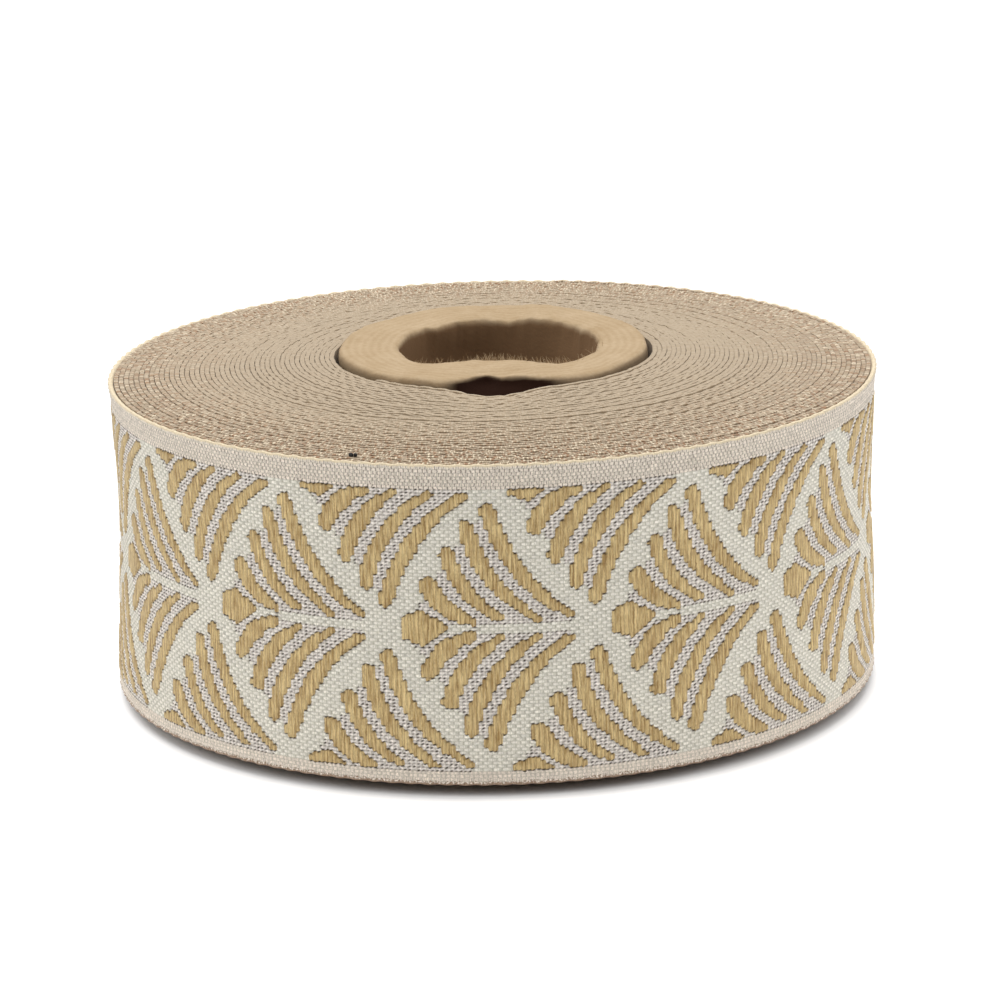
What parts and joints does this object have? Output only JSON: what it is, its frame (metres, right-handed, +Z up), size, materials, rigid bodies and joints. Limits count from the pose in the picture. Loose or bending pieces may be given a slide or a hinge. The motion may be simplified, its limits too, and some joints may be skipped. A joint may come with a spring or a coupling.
{
  "type": "roll of jacquard ribbon on a cardboard core",
  "caption": "Roll of woven jacquard ribbon with a repeating fan pattern in gold on ivory, wound on an open cardboard tube and standing on its flat end.",
  "frame": {"origin": "on the surface that the roll stands on, in the middle of the roll's outline", "axes": "+Z up along the roll's axis, -Y towards the front of the roll as pictured, with the ribbon's cut end at the back"},
  "size_m": [0.0872, 0.087, 0.0382],
  "materials": {
    "ribbon_weave": "ivory plain weave with gold satin floats and twill selvedges",
    "cardboard": "matt kraft board with a rough cut edge"
  },
  "bodies": {
    "root": {"ribbon_roll": "ribbon_weave", "core_tube": "cardboard"}
  },
  "joints": []
}
